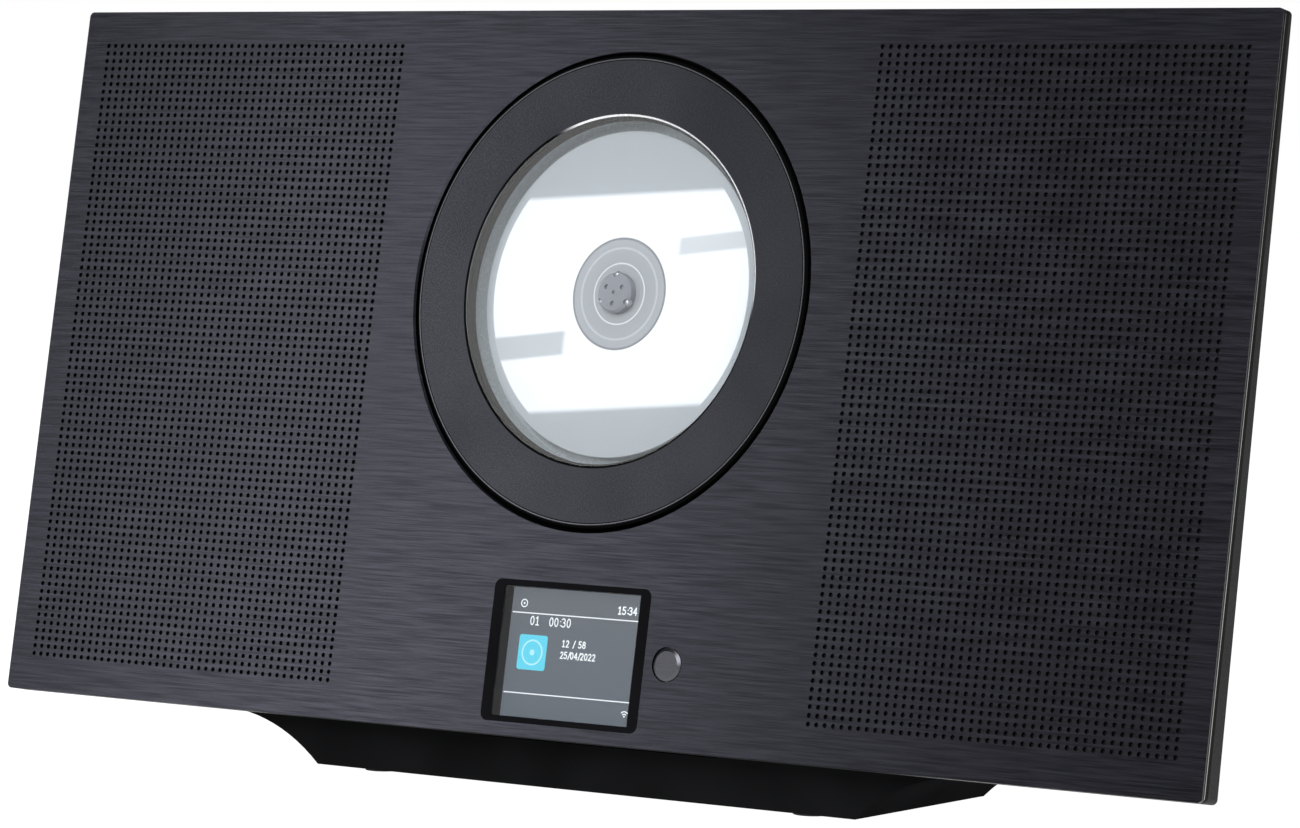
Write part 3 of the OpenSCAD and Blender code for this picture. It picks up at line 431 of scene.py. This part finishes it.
def lit_screen():
    """Grey lit panel with its rows of dots, in a steel frame"""
    look = Look("lit_screen")
    x, _, up = look.where()
    u, v = x / MM, (up - DISPLAY_Z) / MM
    lit = (abs(u) < LIT_HALF_W) * (abs(v) < LIT_HALF_H)
    tint = look.mix(look.ramp(v, -24, 24), (0.086, 0.104, 0.122), (0.100, 0.113, 0.128))
    rows = look.ramp(look.waves(v * 42), -1, 1, 0.94, 1.0)
    return look.finish(
        colour=look.mix(lit, (0.45, 0.46, 0.48), (0.02, 0.02, 0.025)), metal=look.clamp(1 - lit),
        rough=rows * 0.5, glow=look.mix(lit, grey(0.0), tint), glow_strength=1.15, shine=0.2,
    )


def plain_glow(name, colour):
    """One lit colour of the screen's pictures"""
    look = Look(name)
    soft = look.noise(300.0, detail=1.0)
    tint = look.mix(soft, shade(colour, 0.97), colour)
    return look.finish(colour=shade(colour, 0.1), rough=0.4, glow=tint, glow_strength=1.0)


def green_board():
    """Lacquered board with the paler green of its tracks"""
    look = Look("green_board")
    x, _, up = look.where()
    tracks = look.waves(x * 1900) * look.waves(up * 1500)
    tint = look.mix(look.ramp(tracks, 0.2, 0.5), (0.012, 0.07, 0.035), (0.03, 0.14, 0.07))
    return look.finish(colour=tint, rough=0.35, normal=look.bump(tracks, 0.1, 0.00005))


def lens_glass():
    """Dark coated glass of the pickup's small lens"""
    look = Look("pickup_lens")
    tone = look.noise(200.0)
    tint = look.mix(tone, (0.25, 0.3, 0.5), (0.35, 0.35, 0.6))
    return look.finish(colour=tint, rough=0.04, metal=0.4, coat=1.0)


FINISHES = {
    "panel_metal": brushed_panel(),
    "black_cloth": cloth(),
    "case_plastic": moulded("front_frame_grey", (0.012, 0.012, 0.010), 0.6, 900.0, 0.25, shine=0.06),
    "cover_plastic": moulded("rear_black", (0.016, 0.016, 0.017), 0.6, 1100.0, 0.4, shine=0.3),
    "black_plastic": moulded("inner_black", (0.004, 0.004, 0.005), 0.5, shine=0.03),
    "well_plastic": well_wall(),
    "clear_plastic": clear_pane(),
    "lcd_glass": lit_screen(),
    "board": green_board(),
    "socket_plastic": moulded("socket_black", (0.012, 0.012, 0.012), 0.35),
    "bright_steel": metal("plated_steel", (0.56, 0.57, 0.59), 0.3),
    "ferrite": moulded("ferrite", (0.03, 0.03, 0.033), 0.7, 800.0, 0.3),
    "black_screw": metal("blackened_screw", (0.05, 0.05, 0.055), 0.42),
    "zinc_screw": metal("zinc_screw", (0.6, 0.6, 0.63), 0.28),
    "rubber": moulded("black_rubber", (0.014, 0.014, 0.014), 0.8, 1800.0, 0.3),
    "cone_paper": moulded("cone_paper", (0.02, 0.02, 0.022), 0.85, 700.0, 0.6),
    "copper": metal("coil_copper", (0.7, 0.36, 0.18), 0.3),
    "foot_plastic": moulded("foot_black", (0.0065, 0.0066, 0.0071), 0.9, 1400.0, 0.25, shine=0.0),
    "door_plastic": satin_door(),
    "hub_plastic": moulded("hub_grey", (0.215, 0.225, 0.255), 0.35),
    "disc_plastic": disc_label(),
    "pickup_plastic": moulded("pickup_grey", (0.03, 0.033, 0.038), 0.5),
    "lens_glass": lens_glass(),
    "nylon": moulded("natural_acetal", (0.7, 0.67, 0.56), 0.4, 600.0, 0.05, 0.05),
    "brass": metal("turned_brass", (0.72, 0.52, 0.22), 0.25),
    "button_metal": metal("button_satin", (0.10, 0.10, 0.114), 0.3, 1400.0),
}


def dress_frame():
    slots = {row["node"]: row["material_slot"] for row in frame["record"]["subparts"]}
    for name, piece in frame["nodes"].items():
        finish = FINISHES[slots[name]]
        piece.data.materials.clear()
        piece.data.materials.append(finish)


dress_frame()


# ------------------------------------------------------------ pictures on the screen

SCREEN_FRONT = SCREEN_DEPTH - 0.06 * MM
SHEET = 0.04 * MM


def flat_piece(name, faces, material, body, depth):
    """A thin sheet of flat shapes, drawn in millimetres round the screen's middle"""
    mesh = bpy.data.meshes.new(name)
    shape = bmesh.new()
    forward = panel_point(0, -SHEET, 0) - panel_point(0, 0, 0)
    for outline in faces:
        points = [panel_point(u * MM, depth, DISPLAY_Z + v * MM) for u, v in outline]
        face = shape.faces.new([shape.verts.new(p) for p in points])
        grown = bmesh.ops.extrude_face_region(shape, geom=[face])
        moved = [g for g in grown["geom"] if isinstance(g, bmesh.types.BMVert)]
        bmesh.ops.translate(shape, verts=moved, vec=forward)
    bmesh.ops.recalc_face_normals(shape, faces=shape.faces)
    shape.to_mesh(mesh)
    shape.free()
    mesh.materials.append(material)
    piece = bpy.data.objects.new(name, mesh)
    bpy.context.scene.collection.objects.link(piece)
    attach(piece, body)


def disc_points(u, v, radius, count=20):
    return [
        (u + radius * math.cos(math.tau * i / count), v + radius * math.sin(math.tau * i / count))
        for i in range(count)
    ]


def stroke_faces(path, width):
    """A line with round ends and joints as overlapping flat shapes"""
    out = [disc_points(u, v, width / 2, 10) for u, v in path]
    for (u0, v0), (u1, v1) in zip(path, path[1:]):
        reach = math.hypot(u1 - u0, v1 - v0)
        side = (-(v1 - v0) / reach * width / 2, (u1 - u0) / reach * width / 2)
        out.append([
            (u0 + side[0], v0 + side[1]), (u0 - side[0], v0 - side[1]),
            (u1 - side[0], v1 - side[1]), (u1 + side[0], v1 + side[1]),
        ])
    return out


def arc(cu, cv, ru, rv, start, end, count=9):
    steps = [math.radians(start + (end - start) * i / (count - 1)) for i in range(count)]
    return [(cu + ru * math.cos(a), cv + rv * math.sin(a)) for a in steps]


# Figures in a box about 0.56 wide and 1 high
FIGURES = {
    "0": [arc(0.28, 0.5, 0.24, 0.5, 90, 450, 17)],
    "1": [[(0.08, 0.8), (0.3, 1.0), (0.3, 0.0)], [(0.08, 0.0), (0.5, 0.0)]],
    "2": [arc(0.28, 0.72, 0.22, 0.28, 165, -25, 8) + [(0.04, 0.0), (0.53, 0.0)]],
    "3": [arc(0.24, 0.75, 0.24, 0.25, 150, -80, 8), arc(0.24, 0.27, 0.28, 0.27, 85, -150, 9)],
    "4": [[(0.42, 0.0), (0.42, 1.0), (0.02, 0.3), (0.56, 0.3)]],
    "5": [[(0.48, 1.0), (0.1, 1.0), (0.08, 0.55)] + arc(0.24, 0.31, 0.28, 0.31, 110, -150, 9)],
    "8": [arc(0.28, 0.75, 0.2, 0.25, 0, 360, 13), arc(0.28, 0.26, 0.26, 0.26, 0, 360, 13)],
    "/": [[(0.02, -0.1), (0.4, 1.05)]],
    ":": [[(0.16, 0.15), (0.16, 0.17)], [(0.16, 0.62), (0.16, 0.64)]],
    " ": [],
}
NARROW = {":": 0.34, "/": 0.46, " ": 0.62}


def figures(text, u, v, height, width):
    """Faces of a row of figures that starts at u, v"""
    faces = []
    for letter in text:
        for path in FIGURES[letter]:
            faces += stroke_faces([(u + a * height, v + b * height) for a, b in path], width)
        u += NARROW.get(letter, 0.76) * height
    return faces


def ring_faces(u, v, inner, outer, count=36):
    faces = []
    for i in range(count):
        a, b = math.tau * i / count, math.tau * (i + 1) / count
        faces.append([
            (u + inner * math.cos(a), v + inner * math.sin(a)),
            (u + outer * math.cos(a), v + outer * math.sin(a)),
            (u + outer * math.cos(b), v + outer * math.sin(b)),
            (u + inner * math.cos(b), v + inner * math.sin(b)),
        ])
    return faces


def rounded(u0, v0, u1, v1, r):
    corners = [(u1 - r, v1 - r, 0), (u0 + r, v1 - r, 90), (u0 + r, v0 + r, 180), (u1 - r, v0 + r, 270)]
    return [p for cu, cv, a in corners for p in arc(cu, cv, r, r, a, a + 90, 6)]


def bar_face(u0, v0, u1, v1):
    return [(u0, v0), (u1, v0), (u1, v1), (u0, v1)]


# Figures on the screen: text, left end, foot, height and line width, in millimetres
FIGURE_ROWS = (
    ("15:34", 17.2, 16.6, 2.6, 0.5),
    ("01", -21.4, 10.3, 3.0, 0.42),
    ("00:30", -12.8, 10.3, 3.0, 0.42),
    ("25/04/2022", -6.3, -1.0, 2.3, 0.42),
    ("12 / 58", -6.0, 3.2, 2.3, 0.42),
)
RULE_ENDS = (-29.9, 30.2)
RULE_FEET = (14.25, -15.0)
RULE_HIGH = 0.4
ICON_AT = (-25.0, 17.9)
SIGNAL_AT = (25.0, -20.0)
TILE_AT = (-19.05, 0.2)
TILE_WIDE = 12.7
TILE_HIGH = 12.8


def draw_screen():
    white = plain_glow("screen_white", (0.9, 0.93, 0.96))
    cyan = plain_glow("screen_cyan", (0.10, 0.62, 0.80))
    pale = plain_glow("screen_pale", (0.42, 0.80, 0.90))
    marks = [face for row in FIGURE_ROWS for face in figures(*row)]
    marks += [bar_face(RULE_ENDS[0], foot, RULE_ENDS[1], foot + RULE_HIGH) for foot in RULE_FEET]
    marks += ring_faces(*ICON_AT, 1.15, 1.55) + [disc_points(*ICON_AT, 0.4)]
    for radius in (1.0, 1.9):
        marks += stroke_faces(arc(*SIGNAL_AT, radius, radius, 45, 135, 6), 0.4)
    marks += [disc_points(SIGNAL_AT[0], SIGNAL_AT[1] + 0.1, 0.35, 10)]
    flat_piece("screen_figures", marks, white, "cabinet", SCREEN_FRONT)
    u, v = TILE_AT
    tile = [rounded(u - TILE_WIDE / 2, v - TILE_HIGH / 2, u + TILE_WIDE / 2, v + TILE_HIGH / 2, 1.0)]
    flat_piece("screen_tile", tile, cyan, "cabinet", SCREEN_FRONT)
    rings = ring_faces(u, v, 4.1, 4.75) + [disc_points(u, v, 1.1)]
    flat_piece("screen_tile_rings", rings, pale, "cabinet", SCREEN_FRONT - 0.05 * MM)


draw_screen()


# ------------------------------------------------------------ studio

def stage_look():
    look = Look("studio_floor")
    soft = look.noise(3.0)
    tint = look.mix(soft, grey(0.97), grey(1.0))
    return look.finish(colour=grey(0.3), rough=0.9, glow=tint, glow_strength=1.03, shine=0.0)


FLOOR_REACH = 9.0
FLOOR_Z = -0.2 * MM
LAMP_AIM = Vector((0, 0, 0.14))


def lay_floor():
    mesh = bpy.data.meshes.new("floor")
    shape = bmesh.new()
    corners = bar_face(-FLOOR_REACH, -FLOOR_REACH, FLOOR_REACH, FLOOR_REACH)
    shape.faces.new([shape.verts.new((x, y, FLOOR_Z)) for x, y in corners])
    shape.to_mesh(mesh)
    shape.free()
    mesh.materials.append(stage_look())
    floor = bpy.data.objects.new("floor", mesh)
    bpy.context.scene.collection.objects.link(floor)


def soft_box(name, azimuth, elevation, distance, wide, high, power):
    """A large soft lamp that looks at the player; azimuth 0 is in front, positive to the right"""
    data = bpy.data.lights.new(name, "AREA")
    data.shape = "RECTANGLE"
    data.size = wide
    data.size_y = high
    data.energy = power
    lamp = bpy.data.objects.new(name, data)
    bpy.context.scene.collection.objects.link(lamp)
    a, e = math.radians(azimuth), math.radians(elevation)
    lamp.location = LAMP_AIM + distance * Vector(
        (math.sin(a) * math.cos(e), -math.cos(a) * math.cos(e), math.sin(e))
    )
    lamp.rotation_euler = (LAMP_AIM - lamp.location).to_track_quat("-Z", "Y").to_euler()


def light_sky():
    """Pure white behind the player, and a dim white that only lights it"""
    world = bpy.data.worlds.new("studio")
    bpy.context.scene.world = world
    world.use_nodes = True
    nodes, links = world.node_tree.nodes, world.node_tree.links
    nodes.clear()
    seen = nodes.new("ShaderNodeBackground")
    seen.inputs["Color"].default_value = (1, 1, 1, 1)
    seen.inputs["Strength"].default_value = 1.0
    lit = nodes.new("ShaderNodeBackground")
    lit.inputs["Color"].default_value = (0.95, 0.98, 1, 1)
    lit.inputs["Strength"].default_value = 0.13
    path = nodes.new("ShaderNodeLightPath")
    both = nodes.new("ShaderNodeMixShader")
    end = nodes.new("ShaderNodeOutputWorld")
    links.new(path.outputs["Is Camera Ray"], both.inputs[0])
    links.new(lit.outputs[0], both.inputs[1])
    links.new(seen.outputs[0], both.inputs[2])
    links.new(both.outputs[0], end.inputs["Surface"])


lay_floor()
light_sky()
soft_box("left_strip", azimuth=-40.5, elevation=8, distance=2.6, wide=0.52, high=1.15, power=4.5)
soft_box("front_soft_box", azimuth=12, elevation=32, distance=2.2, wide=1.6, high=1.4, power=42)
bpy.context.scene.view_settings.view_transform = "Standard"
bpy.context.scene.view_settings.look = "None"
